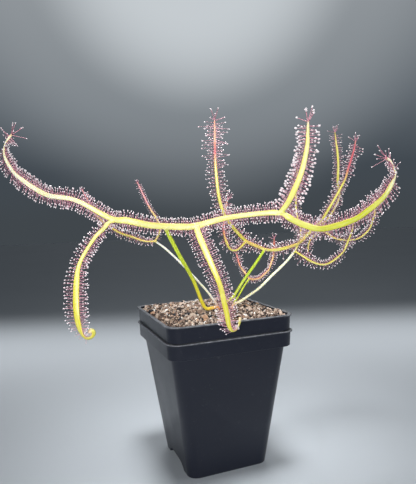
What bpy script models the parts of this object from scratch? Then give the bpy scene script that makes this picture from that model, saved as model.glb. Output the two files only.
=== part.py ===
"""A fork-leaved sundew with its pot: five forking leaves on one crown, in a soil-filled square pot
that stands in a second pot of the same form. Metres, +Z up, origin under the middle of the pot."""
import math
import random

import bpy
from mathutils import Vector

for old in list(bpy.data.objects):
    bpy.data.objects.remove(old, do_unlink=True)

# Sizes in millimetres.
MM = 0.001
POT_BASE = 28.6
POT_SHOULDER = 40.3
BAND_LOW = 43.2
BAND_HIGH = 43.6
LIP = 44.6
POT_WALL = 0.9
POT_FLOOR = 1.5
SHOULDER_Z = 83.5
LIP_UNDER_Z = 92.9
LIP_TOP_Z = 94.0
CORNER_BASE = 7.0
CORNER_TOP = 8.5
FIT_GAP = 0.3
STACK_RISE = LIP_TOP_Z + FIT_GAP - SHOULDER_Z
ARCH_WIDTH = 32.0
ARCH_HEIGHT = 5.2

SOIL_EDGE_Z = 101.6
SOIL_MOUND = 3.6
CROWN = (11.0, -2.0)
CROWN_RING = 5.8
STEM_FOOT_Z = 96.0
HOLE_GAP = 0.35

STRAP_THICK = 1.2
STALK_R = 0.27
BEAD_R = 0.66
TENTACLE_STEP = 3.3
STRAP_STEP = 10.0
STRAP_TURN = 22.0

# Looking direction of the smooth leaf side, level: leaves turn their hairy side this way.
AWAY = Vector((0.366, 0.930, 0.0))
UP = Vector((0.0, 0.0, 1.0))

rng = random.Random(418)


# Meshes
def add_mesh(name, points, faces, material=None):
    mesh = bpy.data.meshes.new(name)
    mesh.from_pydata([tuple(c * MM for c in p) for p in points], [], faces)
    mesh.validate()
    mesh.update()
    obj = bpy.data.objects.new(name, mesh)
    bpy.context.scene.collection.objects.link(obj)
    if material is not None:
        mesh.materials.append(material)
    return obj


def add_material(name, colour, roughness):
    material = bpy.data.materials.new(name)
    material.use_nodes = True
    shader = material.node_tree.nodes["Principled BSDF"]
    shader.inputs["Base Color"].default_value = (*colour, 1.0)
    shader.inputs["Roughness"].default_value = roughness
    shader.inputs["Metallic"].default_value = 0.0
    material.diffuse_color = (*colour, 1.0)
    return material


def stack_rings(rings):
    """Points and faces of a closed body through rings of equal count, capped at both ends."""
    count = len(rings[0])
    points = [p for ring in rings for p in ring]
    faces = []
    for i in range(len(rings) - 1):
        for j in range(count):
            k = (j + 1) % count
            a = i * count + j
            b = i * count + k
            faces.append((a, b, b + count, a + count))
    faces.append(tuple(range(count - 1, -1, -1)))
    last = (len(rings) - 1) * count
    faces.append(tuple(last + j for j in range(count)))
    return points, faces


def join_all(obj, others, operation, solver="MANIFOLD"):
    """One Boolean of obj with every object in others, applied; the others are then removed."""
    group = bpy.data.collections.new("operands")
    bpy.context.scene.collection.children.link(group)
    for other in others:
        bpy.context.scene.collection.objects.unlink(other)
        group.objects.link(other)
    modifier = obj.modifiers.new("join", "BOOLEAN")
    modifier.operation = operation
    modifier.operand_type = "COLLECTION"
    modifier.collection = group
    modifier.solver = solver
    graph = bpy.context.evaluated_depsgraph_get()
    mesh = bpy.data.meshes.new_from_object(obj.evaluated_get(graph))
    obj.modifiers.clear()
    material = obj.data.materials[0] if obj.data.materials else None
    obj.data = mesh
    mesh.materials.clear()
    if material is not None:
        mesh.materials.append(material)
    mesh.polygons.foreach_set("material_index", [0] * len(mesh.polygons))
    for other in others:
        bpy.data.objects.remove(other, do_unlink=True)
    bpy.data.collections.remove(group)
    keep_largest(obj)
    return obj


def keep_largest(obj):
    """Drops loose scraps and sealed hollows: the largest shell alone stays."""
    mesh = obj.data
    parent = list(range(len(mesh.vertices)))

    def root(i):
        while parent[i] != i:
            parent[i] = parent[parent[i]]
            i = parent[i]
        return i

    for edge in mesh.edges:
        a, b = root(edge.vertices[0]), root(edge.vertices[1])
        parent[a] = b
    shells = {}
    for face in mesh.polygons:
        shells.setdefault(root(face.vertices[0]), []).append(face)
    if len(shells) < 2:
        return
    best = max(shells.values(), key=lambda faces: sum(f.area for f in faces))
    used = sorted({v for face in best for v in face.vertices})
    index = {v: n for n, v in enumerate(used)}
    points = [tuple(mesh.vertices[v].co) for v in used]
    faces = [tuple(index[v] for v in face.vertices) for face in best]
    clean = bpy.data.meshes.new(obj.name)
    clean.from_pydata(points, [], faces)
    clean.update()
    for material in mesh.materials:
        clean.materials.append(material)
    obj.data = clean


# Pots
def square_ring(half, corner, z, steps=4):
    points = []
    for sx, sy, start in ((1, 1, 0.0), (-1, 1, 90.0), (-1, -1, 180.0), (1, -1, 270.0)):
        for i in range(steps + 1):
            angle = math.radians(start + 90.0 * i / steps)
            x = sx * (half - corner) + corner * math.cos(angle)
            y = sy * (half - corner) + corner * math.sin(angle)
            points.append((x, y, z))
    return points


def wall_half(z):
    """Half width of the pot body's inner wall at a height above the pot's own base."""
    run = (z - POT_FLOOR) / (SHOULDER_Z + POT_WALL - POT_FLOOR)
    return POT_BASE - POT_WALL + 0.2 + run * (POT_SHOULDER - POT_BASE - 0.15)


def build_pot(name, lift, material):
    profile = [
        (POT_BASE - 0.9, CORNER_BASE - 0.7, 0.0),
        (POT_BASE, CORNER_BASE, 1.0),
        (POT_SHOULDER, CORNER_TOP, SHOULDER_Z),
        (BAND_LOW, CORNER_TOP, SHOULDER_Z),
        (BAND_HIGH, CORNER_TOP, LIP_UNDER_Z),
        (LIP - 0.3, CORNER_TOP + 0.5, LIP_UNDER_Z),
        (LIP, CORNER_TOP + 0.6, LIP_UNDER_Z + 0.4),
        (LIP - 0.3, CORNER_TOP + 0.5, LIP_TOP_Z),
        (BAND_LOW - POT_WALL, CORNER_TOP - 0.5, LIP_TOP_Z),
        (BAND_LOW - POT_WALL, CORNER_TOP - 0.5, SHOULDER_Z + POT_WALL),
        (wall_half(SHOULDER_Z + POT_WALL), CORNER_TOP - POT_WALL, SHOULDER_Z + POT_WALL),
        (wall_half(POT_FLOOR), CORNER_BASE - POT_WALL, POT_FLOOR),
    ]
    rings = [square_ring(half, corner, z + lift) for half, corner, z in profile]
    points, faces = stack_rings(rings)
    pot = add_mesh(name, points, faces, material)
    cutters = []
    for side in (-1, 1):
        arch = []
        for i in range(9):
            t = -1.0 + i / 4.0
            y = 0.5 * ARCH_WIDTH * t
            z = ARCH_HEIGHT * (1.0 - abs(t) ** 5)
            arch.append((y, z + lift))
        arch = [(arch[0][0], lift - 1.0)] + arch + [(arch[-1][0], lift - 1.0)]
        near = [(side * 24.5, y, z) for y, z in arch]
        far = [(side * 31.0, y, z) for y, z in arch]
        if side > 0:
            near.reverse()
            far.reverse()
        cutters.append(add_mesh("drain_cutter", *stack_rings([near, far])))
    return join_all(pot, cutters, "DIFFERENCE", "EXACT")


# Soil
def soil_height(x, y):
    edge = max(abs(x), abs(y)) / 42.0
    mound = SOIL_MOUND * max(0.0, 1.0 - edge ** 3)
    rough = 0.55 * math.sin(0.31 * x + 1.3) * math.cos(0.27 * y - 0.4)
    rough += 0.4 * math.sin(0.61 * x - 0.45 * y + 2.0)
    back = 2.6 * max(0.0, y - 4.0, 0.9 * x - 4.0) / 38.0
    crown = math.hypot(x - CROWN[0], y - CROWN[1])
    rough *= min(1.0, crown / 22.0)
    return SOIL_EDGE_Z + mound + back + rough


def build_soil(material, cutters):
    lift = STACK_RISE
    rings = []
    shoulder = SHOULDER_Z + POT_WALL
    for half, corner, z in (
        (wall_half(POT_FLOOR) - FIT_GAP - 0.1, CORNER_BASE - POT_WALL, POT_FLOOR + FIT_GAP),
        (wall_half(shoulder) - FIT_GAP - 0.05, CORNER_TOP - POT_WALL, shoulder + FIT_GAP),
        (BAND_LOW - POT_WALL - FIT_GAP, CORNER_TOP - 0.5, shoulder + FIT_GAP),
    ):
        rings.append(square_ring(half, corner, z + lift, 5))
    outer = BAND_LOW - POT_WALL - FIT_GAP
    for share in (1.0, 0.95, 0.86, 0.75, 0.63, 0.5, 0.37, 0.24, 0.1):
        corner = 2.0 + (CORNER_TOP - 2.5) * share
        corner = min(corner, outer * share * 0.98)
        if share < 0.9:
            corner = max(corner, outer * share * 0.55)
        ring = []
        for x, y, _ in square_ring(outer * share, corner, 0.0, 5):
            ring.append((x, y, soil_height(x, y) - (0.6 if share == 1.0 else 0.0)))
        rings.append(ring)
    points, faces = stack_rings(rings)
    soil = add_mesh("soil", points, faces, material)
    return join_all(soil, cutters, "DIFFERENCE")


# Curves
def smooth_path(knots, step, turn):
    """Stations along a smooth curve through the knots: closer together where it bends."""
    pts = [Vector(k) for k in knots]
    first = pts[0] * 2.0 - pts[1]
    last = pts[-1] * 2.0 - pts[-2]
    ext = [first] + pts + [last]
    fine = []
    for i in range(1, len(ext) - 2):
        a, b, c, d = ext[i - 1], ext[i], ext[i + 1], ext[i + 2]
        for n in range(12):
            t = n / 12.0
            p = b * 2.0 + (c - a) * t + (a * 2.0 - b * 5.0 + c * 4.0 - d) * t * t
            p += (b * 3.0 - a - c * 3.0 + d) * t ** 3
            fine.append(p * 0.5)
    fine.append(pts[-1].copy())
    kept = [0]
    bend = 0.0
    for i in range(1, len(fine) - 1):
        bend += (fine[i] - fine[i - 1]).angle(fine[i + 1] - fine[i], 0.0)
        if (fine[i] - fine[kept[-1]]).length > step or bend > math.radians(turn):
            if (fine[i] - fine[kept[-1]]).length > 1.2:
                kept.append(i)
                bend = 0.0
    if (fine[-1] - fine[kept[-1]]).length < 0.8:
        kept.pop()
    kept.append(len(fine) - 1)
    return [fine[i] for i in kept]


def span_lengths(pts):
    lengths = [0.0]
    for a, b in zip(pts, pts[1:]):
        lengths.append(lengths[-1] + (b - a).length)
    return lengths


def along(pts, spacing):
    """Even places along a line of points: segment, share of the segment, share of the whole."""
    lengths = span_lengths(pts)
    total = lengths[-1]
    count = int(total / spacing)
    out = []
    seg = 0
    for i in range(count + 1):
        s = (i + 0.5) * total / (count + 1)
        while lengths[seg + 1] < s:
            seg += 1
        out.append((seg, (s - lengths[seg]) / (lengths[seg + 1] - lengths[seg]), s / total))
    return out


def facing(tangent, bend):
    """Direction the hairy side looks: away from the viewer, turned to the inside of a curl."""
    want = AWAY + UP * 0.25
    if bend.length > 1e-6:
        want = want + bend.normalized() * min(1.3, bend.length * 9.0)
    want = want - tangent * want.dot(tangent)
    return want.normalized()


def bend_at(points, i):
    if i == 0 or i == len(points) - 1:
        return Vector((0.0, 0.0, 0.0))
    a = (points[i] - points[i - 1])
    b = (points[i + 1] - points[i])
    return (b.normalized() - a.normalized()) / (0.5 * (a.length + b.length))


def width_at(widths, share):
    """Full width at a share of the length, between the listed even stations."""
    pos = share * (len(widths) - 1)
    i = min(int(pos), len(widths) - 2)
    return widths[i] + (widths[i + 1] - widths[i]) * (pos - i)


def strap_frames(knots):
    """Stations of a strap with the direction along it and the direction its hairy side looks."""
    pts = smooth_path(knots, STRAP_STEP, STRAP_TURN)
    frames = []
    for i, p in enumerate(pts):
        before = pts[max(i - 1, 0)]
        after = pts[min(i + 1, len(pts) - 1)]
        tangent = (after - before).normalized()
        frames.append((p, tangent, facing(tangent, bend_at(pts, i))))
    return frames


def build_strap(knots, widths):
    """A flat strap with a raised midrib on its smooth side."""
    frames = strap_frames(knots)
    lengths = span_lengths([f[0] for f in frames])
    rings = []
    for i, (p, tangent, face) in enumerate(frames):
        side = face.cross(tangent)
        half = 0.5 * width_at(widths, lengths[i] / lengths[-1])
        thick = min(0.5 * STRAP_THICK, half)
        section = (
            (half, 0.0), (half * 0.5, thick * 0.9), (-half * 0.5, thick * 0.9),
            (-half, 0.0), (-half * 0.45, -thick), (half * 0.45, -thick),
        )
        rings.append([p + side * u + face * v for u, v in section])
    return add_mesh("strap", *stack_rings(rings))


def build_stem(knots, radii, sides=6, grow=0.0, step=12.0):
    pts = smooth_path(knots, step, STRAP_TURN)
    lengths = span_lengths(pts)
    rings = []
    side = Vector((1.0, 0.0, 0.0))
    for i, p in enumerate(pts):
        before = pts[max(i - 1, 0)]
        after = pts[min(i + 1, len(pts) - 1)]
        tangent = (after - before).normalized()
        side = (side - tangent * side.dot(tangent)).normalized()
        other = tangent.cross(side)
        r = width_at(radii, lengths[i] / lengths[-1]) + grow
        ring = []
        for j in range(sides):
            a = 2.0 * math.pi * j / sides
            ring.append(p + side * (r * math.cos(a)) + other * (r * math.sin(a)))
        rings.append(ring)
    return add_mesh("stem", *stack_rings(rings))


def build_tentacle(foot, tip, bead):
    """A thin stalk with a bead at its end, both three-sided, as one closed body."""
    axis = (tip - foot).normalized()
    side = axis.orthogonal().normalized()
    other = axis.cross(side)

    def ring(centre, r, turn):
        out = []
        for j in range(3):
            a = 2.0 * math.pi * (j + turn) / 3.0
            out.append(centre + side * (r * math.cos(a)) + other * (r * math.sin(a)))
        return out

    points = ring(foot, STALK_R * 1.15, 0.0) + ring(tip - axis * bead, STALK_R, 0.0)
    points += ring(tip + axis * (bead * 0.25), bead, 0.5) + [tip + axis * bead * 1.25]
    faces = [(2, 1, 0)]
    for j in range(3):
        k = (j + 1) % 3
        faces.append((j, k, k + 3, j + 3))
    for j in range(3):
        k = (j + 1) % 3
        faces.append((j + 3, k + 3, j + 6))
        faces.append((k + 3, k + 6, j + 6))
        faces.append((j + 6, k + 6, 9))
    return add_mesh("tentacle", points, faces)


# Leaves: knots in millimetres. A stem comes out of the crown at an angle round it.
def crown_point(angle, z):
    a = math.radians(angle)
    return (CROWN[0] + CROWN_RING * math.cos(a), CROWN[1] + CROWN_RING * math.sin(a), z)


def stem_foot(angle):
    return [crown_point(angle, STEM_FOOT_Z), crown_point(angle, STEM_FOOT_Z + 6.0), crown_point(angle, 105.2)]


LEAVES = {
    "leaf_a": {
        "angle": 200,
        "stem": [(3, -5, 107.2), (-2, -6.3, 107), (-7.5, -8, 109.2), (-19, -19, 130), (-32, -33, 147),
                 (-41, -42, 160), (-45, -47, 166)],
        "stem_r": (1.15, 1.25, 1.3, 1.3),
        "straps": [
            ([(-126, 0, 225), (-130, 3, 220), (-131, 2, 213), (-128, -2, 205), (-123, -8, 198),
              (-109, -22, 187), (-94, -34, 183), (-76, -43, 172), (-67, -45, 170.4), (-55, -46, 167.5),
              (-45, -47, 166.4), (-37, -51, 165.8), (-29, -55, 166), (-13, -61, 170), (5, -69, 172),
              (17, -73, 172), (23, -78, 167.5), (29, -83, 164), (37, -87, 162.3), (54, -91, 166.5),
              (64, -92, 171.7), (75, -92, 178.8), (82, -91, 185.8), (86, -91, 192.5), (84, -91, 198.4),
              (81, -92, 201.2), (78, -92.4, 202.2)],
             (1.5, 2.5, 3.0, 3.4, 2.6, 3.3, 4.3, 4.2, 4.2, 3.2, 3.1, 4.0, 4.1, 3.9, 3.5, 2.8, 1.5), "both"),
            ([(-72.5, -43.4, 171.2), (-77, -43.5, 169.8), (-80, -44, 166.5), (-86, -46, 161), (-95, -51, 148),
              (-97.7, -54, 135), (-98.3, -56, 122), (-97.2, -56.4, 114.1), (-95.9, -56.9, 110.3),
              (-93.9, -57.6, 108.2), (-91.7, -58.5, 108.6), (-90.2, -59, 110.1), (-90.1, -59.2, 111.9),
              (-91.2, -59.2, 113), (-92.5, -59.1, 112.7), (-92.8, -59.1, 111.5)],
             (3.2, 3.1, 2.4, 2.5, 3.4, 3.6, 3.4, 3.1, 2.2), "end"),
            ([(-29, -55, 166.5), (-28.4, -59, 160), (-26.6, -62, 153), (-22.6, -65, 141), (-19.4, -66, 132),
              (-16.2, -63, 123), (-13.5, -61, 114), (-11.5, -59, 106.3), (-9, -58, 102.4),
              (-6, -57, 102.6), (-4, -57, 105.5), (-3, -57, 110)],
             (3.6, 4.0, 3.8, 3.5, 3.1, 3.3, 3.3, 3.0, 2.5, 1.8), "end"),
            ([(16.5, -72.8, 171.5), (21, -74, 177), (25, -74.5, 183.5), (28.8, -74, 190), (32.5, -73, 197),
              (35.3, -72, 204), (37.2, -72, 212), (37.7, -72, 219), (37.4, -73, 226)],
             (3.2, 3.5, 3.7, 3.6, 3.5, 3.3, 3.0, 2.1, 1.2), "end"),
        ],
        "reach": 5.2,
    },
    "leaf_b": {
        "angle": 127,
        "stem": [(6, 2.6, 108), (-3, 1, 120), (-20, 1, 139), (-31, 1, 150), (-39, 0, 156)],
        "stem_r": (0.85, 0.8, 0.75, 0.75),
        "straps": [
            ([(-38, -0.5, 156), (-45, 1, 156), (-53, 3, 159), (-61, 4, 162), (-67, 5, 166),
              (-75, 7, 173), (-80, 10, 182), (-84, 14, 192)],
             (1.4, 1.7, 1.7, 1.4, 0.9), "end"),
            ([(-39, 0, 155.5), (-36, -1, 161), (-35, 0, 166), (-37, 2, 172), (-41, 5, 180), (-47, 11, 197)],
             (1.4, 1.3, 1.2, 0.9), "end"),
        ],
        "reach": 4.0,
    },
    "leaf_c": {
        "angle": 74,
        "stem": [(14, 3.2, 108), (19, 0.7, 112.5), (26.2, -1.5, 123.5), (37.4, -2, 137), (45, -1, 146)],
        "stem_r": (1.0, 1.1, 1.1, 1.05),
        "straps": [
            ([(8, 0, 240), (7, -2, 232), (6, -4, 220), (6, -4, 208), (7.5, -4, 188), (11, -3, 175),
              (15, -3, 168), (21, -2, 161), (29, -2, 153), (35, -2, 150), (45, -1, 146), (52, -2, 145),
              (59, -3, 145.7), (67, -3, 147.3), (75, -3, 150), (88, -1, 160), (96, -1, 166),
              (106, -1, 179), (111, -1, 186), (119, -1, 198), (122, -1, 206), (128, -1, 221),
              (130, -1, 229)],
             (1.1, 1.9, 2.3, 2.4, 2.6, 2.8, 2.6, 2.2, 2.0, 1.7, 1.1), "both"),
            ([(30, -2, 153.5), (24, -2, 148), (20, -1, 146.2), (17, 1, 148), (16, 3, 152), (16, 7, 157),
              (17, 10, 164), (20, 14, 175), (23, 15, 184)],
             (1.8, 2.0, 1.9, 1.7, 1.1), "end"),
        ],
        "reach": 4.6,
    },
    "leaf_d": {
        "angle": -5,
        "stem": [(18, -2, 108), (23, 0.5, 112.5), (27, 2, 117), (30.5, 3, 121), (34, 4, 124)],
        "stem_r": (0.75, 0.75, 0.75, 0.75),
        "straps": [
            ([(28, 13, 143), (29, 12, 138), (30, 11, 133), (32, 8, 129), (34, 4.4, 124.4), (38, 4, 123.3),
              (43, 5, 123.7), (49, 8, 126), (54, 10, 129), (57, 12, 133), (60, 13, 139),
              (61.5, 14, 145), (61, 13, 153)],
             (1.1, 1.4, 1.6, 1.8, 1.8, 1.7, 1.6, 1.1), "both"),
        ],
        "reach": 3.6,
    },
    "leaf_e": {
        "angle": -60,
        "stem": [(15.5, -6.6, 108), (22, -4.5, 109.3), (33, 1, 112.7), (42, 4, 116.3), (57, 9, 125),
                 (69, 11, 133), (78, 10, 142)],
        "stem_r": (0.9, 1.0, 1.0, 0.95),
        "straps": [
            ([(77, 9.8, 141), (81, 11.3, 146), (85, 13, 151), (91, 14, 155), (104, 15, 161), (112, 15, 165.5),
              (119, 16, 173), (123.5, 16, 179.5), (127, 17, 187), (127, 19, 194), (128, 20, 203),
              (130, 22, 212), (131, 24, 223), (131, 26, 233), (131, 27, 241)],
             (1.8, 2.1, 2.1, 2.0, 2.0, 2.1, 2.0, 1.1), "end"),
            ([(102.4, 14.4, 160.6), (110, 14, 156), (117, 12, 151), (124, 9, 149), (132, 5, 149),
              (137, 1, 152), (141, -3, 158), (142, -5, 164), (142, -8, 170), (141, -9, 176), (139, -11, 182)],
             (1.6, 1.7, 1.7, 1.7, 1.5, 1.1), "end"),
            ([(106.5, 14.6, 159.5), (106, 18, 156), (104, 22, 153), (102, 25, 149), (101, 26, 144),
              (100, 25, 139)],
             (1.5, 1.6, 1.5, 1.1), "end"),
            ([(84.6, 12.8, 150), (87, 15, 158), (87, 18, 165), (87, 21, 173), (88, 23, 183), (89, 24, 193),
              (90, 24, 201), (90, 23, 209)],
             (1.5, 1.6, 1.5, 1.4, 1.0), "end"),
            ([(77.5, 10.2, 142.5), (81, 9, 140), (85, 7, 137), (90, 5, 133.5), (96, 3, 131), (101, 1, 131),
              (106, 0, 133), (112, -1, 137), (116, -2, 141), (118, -3, 146), (121, -3, 152),
              (123, -4, 158), (123, -5, 163)],
             (1.6, 1.8, 1.8, 1.8, 1.6, 1.1), "end"),
        ],
        "reach": 4.2,
    },
}

taken = []


def seg_points(a, b):
    n = max(2, int((b - a).length / 0.8))
    return [a.lerp(b, i / n) for i in range(n + 1)]


def is_clear(foot, tip, own, room):
    """True when the outer part of a tentacle keeps its room from everything already set."""
    probe = [foot.lerp(tip, t) for t in (0.45, 0.7, 0.9, 1.08)]
    for centre, radius, owner in taken:
        reach = (tip - foot).length + room + radius
        if (centre - foot).length > reach + 1.0:
            continue
        near = radius + room
        start = 0 if owner != own else 1
        for p in probe[start:]:
            if (p - centre).length < near:
                return False
    return True


def note_paths():
    for name, leaf in LEAVES.items():
        stem = [Vector(p) for p in stem_foot(leaf["angle"])] + [Vector(p) for p in leaf["stem"]]
        pts = smooth_path(stem, STRAP_STEP, STRAP_TURN)
        for seg, t, _ in along(pts, 0.9):
            taken.append((pts[seg].lerp(pts[seg + 1], t), leaf["stem_r"][1], name))
        for knots, widths, _ in leaf["straps"]:
            pts = [f[0] for f in strap_frames(knots)]
            for seg, t, share in along(pts, 0.9):
                taken.append((pts[seg].lerp(pts[seg + 1], t), 0.42 * width_at(widths, share), name))


def tentacle_set(name, knots, widths, ends, reach):
    """Alternate margin and face tentacles along a strap, and a fan at each free tip."""
    out = []
    frames = strap_frames(knots)
    total = span_lengths([f[0] for f in frames])[-1]
    turn = 0
    for seg, t, share in along([f[0] for f in frames], TENTACLE_STEP):
        from_start = share * total
        from_end = total - from_start
        if ends == "end" and from_start < 5.0:
            continue
        if from_end < 2.0 or (ends == "both" and from_start < 2.0):
            continue
        p = frames[seg][0].lerp(frames[seg + 1][0], t)
        tangent = (frames[seg + 1][0] - frames[seg][0]).normalized()
        face = frames[seg][2].lerp(frames[seg + 1][2], t).normalized()
        side = face.cross(tangent).normalized()
        half = 0.5 * width_at(widths, share)
        turn += 1
        kind = (1, 0, -1, 0)[turn % 4]
        tip_near = min(from_end, from_start if ends == "both" else 1e9)
        long_tip = 1.0 + 0.3 * max(0.0, 1.0 - tip_near / 14.0)
        wobble = Vector((rng.uniform(-1, 1), rng.uniform(-1, 1), rng.uniform(-1, 1))) * 0.16
        if kind == 0:
            lean = rng.choice((-0.35, 0.35))
            way = (face + side * lean + wobble).normalized()
            foot = p + side * (lean * half * 0.5)
            size = reach * rng.uniform(0.62, 0.78)
        else:
            way = (side * kind + face * rng.uniform(-0.05, 0.55) + wobble).normalized()
            foot = p + side * (kind * half * 0.4)
            size = reach * rng.uniform(0.9, 1.08) * long_tip
        tip = foot + way * (size + (0.45 * half if kind else 0.0))
        if is_clear(foot, tip, name, BEAD_R + 0.35):
            out.append((foot, tip))
            for q in seg_points(foot.lerp(tip, 0.4), tip):
                taken.append((q, STALK_R + 0.15, name + "_hair"))
            taken.append((tip, BEAD_R, name + "_hair"))
    tips = [(-1, Vector(knots[-1]), Vector(knots[-2]))]
    if ends == "both":
        tips.append((0, Vector(knots[0]), Vector(knots[1])))
    for _, tip_point, inner in tips:
        ahead = (tip_point - inner).normalized()
        face = facing(ahead, Vector((0, 0, 0)))
        side = face.cross(ahead)
        for j in range(7):
            a = 2.0 * math.pi * (j + 0.3) / 7.0
            out_way = side * math.cos(a) + face * math.sin(a)
            lean = (0.35, 0.95, 0.6)[j % 3]
            way = (ahead + out_way * lean).normalized()
            foot = tip_point - ahead * 0.8
            tip = foot + way * (reach * rng.uniform(1.05, 1.4))
            if is_clear(foot, tip, name, BEAD_R + 0.2):
                out.append((foot, tip))
                for q in seg_points(foot.lerp(tip, 0.5), tip):
                    taken.append((q, STALK_R + 0.1, name + "_hair"))
                taken.append((tip, BEAD_R, name + "_hair"))
    return out


def build_leaf(name, leaf, material):
    stem_knots = stem_foot(leaf["angle"]) + leaf["stem"]
    body = build_stem(stem_knots, leaf["stem_r"])
    body.name = name
    body.data.materials.append(material)
    parts = [build_strap(knots, widths) for knots, widths, _ in leaf["straps"]]
    for knots, widths, ends in leaf["straps"]:
        for foot, tip in tentacle_set(name, knots, widths, ends, leaf["reach"]):
            parts.append(build_tentacle(foot, tip, BEAD_R * rng.uniform(0.9, 1.08)))
    join_all(body, parts, "UNION")
    body.name = name
    return body


# Rootstock: a short crown knob with a few fleshy roots below it.
ROOTS = (
    [(11, -2, 98), (5, 3, 88), (-2, 8, 76), (-6, 10, 62)],
    [(11, -2, 94), (17, -8, 84), (20, -14, 70), (19, -17, 56)],
    [(11, -2, 90), (12, 4, 78), (15, 12, 66), (14, 17, 52)],
)


def build_rootstock(name, grow, material):
    x, y = CROWN
    rings = []
    for z, r in ((72.0, 0.9), (84.0, 1.7), (96.0, 2.9), (103.0, 3.7), (106.2, 3.6), (107.8, 2.2)):
        if grow and z == 72.0:
            z -= grow
        if grow and z == 107.8:
            z += 6.0
            r = 3.6
        ring = []
        for j in range(8):
            a = 2.0 * math.pi * j / 8
            ring.append((x + (r + grow) * math.cos(a), y + (r + grow) * math.sin(a), z))
        rings.append(ring)
    body = add_mesh(name, *stack_rings(rings), material)
    roots = []
    for knots in ROOTS:
        if grow:
            a, b = Vector(knots[-2]), Vector(knots[-1])
            knots = knots[:-1] + [tuple(b + (b - a).normalized() * grow)]
        roots.append(build_stem(knots, (1.3, 1.1, 0.7), 6, grow, 12.0))
    join_all(body, roots, "UNION")
    body.name = name
    return body


def build_all():
    pot_plastic = add_material("pot_plastic", (0.018, 0.020, 0.023), 0.48)
    soil_mix = add_material("soil_mix", (0.26, 0.19, 0.14), 0.95)
    root_brown = add_material("root_brown", (0.12, 0.055, 0.03), 0.8)
    colours = {
        "leaf_a": (0.56, 0.60, 0.06),
        "leaf_b": (0.62, 0.50, 0.12),
        "leaf_c": (0.52, 0.55, 0.07),
        "leaf_d": (0.58, 0.36, 0.12),
        "leaf_e": (0.60, 0.54, 0.10),
    }
    build_pot("outer_pot", 0.0, pot_plastic)
    build_pot("inner_pot", STACK_RISE, pot_plastic)
    cutters = [build_rootstock("root_cutter", FIT_GAP, None)]
    for leaf in LEAVES.values():
        x, y, _ = crown_point(leaf["angle"], 0.0)
        hole = [(x, y, STEM_FOOT_Z - FIT_GAP), (x, y, 102.0), (x, y, 108.0)]
        cutters.append(build_stem(hole, (max(leaf["stem_r"]),) * 2, 8, HOLE_GAP + 0.1))
    build_soil(soil_mix, cutters)
    build_rootstock("rootstock", 0.0, root_brown)
    note_paths()
    for name, leaf in LEAVES.items():
        build_leaf(name, leaf, add_material(name + "_green", colours[name], 0.45))


build_all()
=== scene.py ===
from collections import namedtuple
from math import copysign, cos, hypot, pi, radians, sin

import bpy
import numpy as np
from mathutils import Matrix, Quaternion, Vector, noise
from mathutils.kdtree import KDTree


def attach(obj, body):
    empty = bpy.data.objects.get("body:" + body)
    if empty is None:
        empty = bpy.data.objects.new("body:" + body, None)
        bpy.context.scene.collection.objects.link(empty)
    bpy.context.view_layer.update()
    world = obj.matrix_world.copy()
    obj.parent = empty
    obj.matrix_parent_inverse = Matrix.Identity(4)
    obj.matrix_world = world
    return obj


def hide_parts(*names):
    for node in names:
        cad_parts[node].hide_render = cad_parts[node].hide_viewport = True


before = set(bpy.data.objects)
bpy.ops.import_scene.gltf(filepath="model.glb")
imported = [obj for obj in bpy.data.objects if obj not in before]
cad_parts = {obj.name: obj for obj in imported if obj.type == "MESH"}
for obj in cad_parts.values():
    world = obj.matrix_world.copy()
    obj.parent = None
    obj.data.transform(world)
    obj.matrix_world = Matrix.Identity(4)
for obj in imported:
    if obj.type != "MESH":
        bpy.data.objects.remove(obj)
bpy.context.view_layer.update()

MM = 0.001

# Pot sizes in millimetres, as in the solids.
POT_BASE = 28.6
POT_SHOULDER = 40.3
BAND_LOW = 43.2
BAND_HIGH = 43.6
LIP = 44.6
POT_WALL = 0.9
POT_FLOOR = 1.5
SHOULDER_Z = 83.5
LIP_UNDER_Z = 92.9
LIP_TOP_Z = 94.0
CORNER_BASE = 7.0
CORNER_TOP = 8.5
STACK_RISE = 10.8
ARCH_WIDTH = 32.0
ARCH_HEIGHT = 5.2
SOIL_EDGE_Z = 101.6
SOIL_MOUND = 3.6
CROWN = (11.0, -2.0)
CROWN_RING = 5.8
STEM_FOOT_Z = 96.0
STEM_TURN_Z = 102.0
STEM_TOP_Z = 105.2
# The way level with the floor that leads away from the camera, and straight up.
AWAY = Vector((0.366, 0.930, 0.0))
UP = Vector((0.0, 0.0, 1.0))


# Node helpers
def new_material(name):
    material = bpy.data.materials.new(name)
    material.use_nodes = True
    tree = material.node_tree
    return material, tree, tree.nodes["Principled BSDF"]


def node(tree, kind, **values):
    """A new node, its sockets or settings given by name."""
    made = tree.nodes.new(kind)
    for key, value in values.items():
        if key in made.inputs:
            made.inputs[key].default_value = value
        else:
            setattr(made, key, value)
    return made


def coords(tree):
    return node(tree, "ShaderNodeTexCoord").outputs["Object"]


def noise_node(tree, scale, detail=3.0, rough=0.55):
    made = node(tree, "ShaderNodeTexNoise", Scale=scale, Detail=detail, Roughness=rough)
    tree.links.new(coords(tree), made.inputs["Vector"])
    return made.outputs["Fac"]


def axes(tree):
    """The X, Y and Z of the shaded point in metres, as sockets."""
    split = node(tree, "ShaderNodeSeparateXYZ")
    tree.links.new(coords(tree), split.inputs[0])
    return split.outputs


def feed(tree, socket, value):
    """Links a socket to the value, or sets it to a number or a colour."""
    if hasattr(value, "is_linked"):
        tree.links.new(value, socket)
    else:
        socket.default_value = (*value, 1.0) if isinstance(value, tuple) else value


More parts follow.
